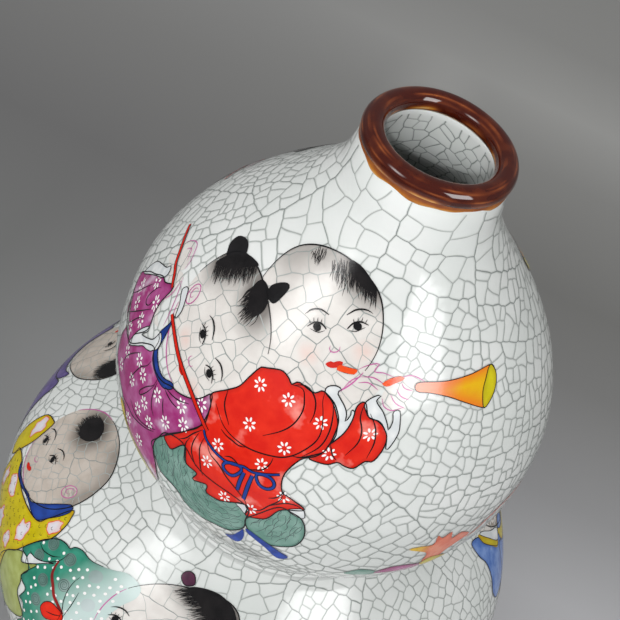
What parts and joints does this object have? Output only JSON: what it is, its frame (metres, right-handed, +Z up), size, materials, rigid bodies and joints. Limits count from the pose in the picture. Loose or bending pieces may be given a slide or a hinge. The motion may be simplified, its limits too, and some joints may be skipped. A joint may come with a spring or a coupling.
{
  "type": "vase",
  "caption": "Double-gourd vase with a round lower bulb, a smaller upper bulb, a narrow neck and a rolled lip, open inside for flower stems and standing on a foot ring.",
  "frame": {"origin": "on the surface that the vase stands on, under the middle of the foot ring", "axes": "+Z up along the vase's axis; -Y faces the viewer, with the picture of the two boys on the upper bulb"},
  "size_m": [0.219, 0.219, 0.3064],
  "materials": {
    "bare_stoneware": "matt, fine sandy",
    "crackle_glaze": "glossy with a fine crackle",
    "brown_glaze": "glossy"
  },
  "bodies": {
    "root": {"foot_ring": "bare_stoneware", "lower_bulb_base": "bare_stoneware", "lower_bulb_shoulder": "bare_stoneware", "upper_bulb_lower": "bare_stoneware", "upper_bulb_shoulder": "bare_stoneware", "neck": "bare_stoneware", "mouth_lip": "bare_stoneware", "outer_glaze": "crackle_glaze", "inner_glaze": "crackle_glaze", "lip_glaze": "brown_glaze", "foot_glaze": "crackle_glaze"}
  },
  "joints": []
}
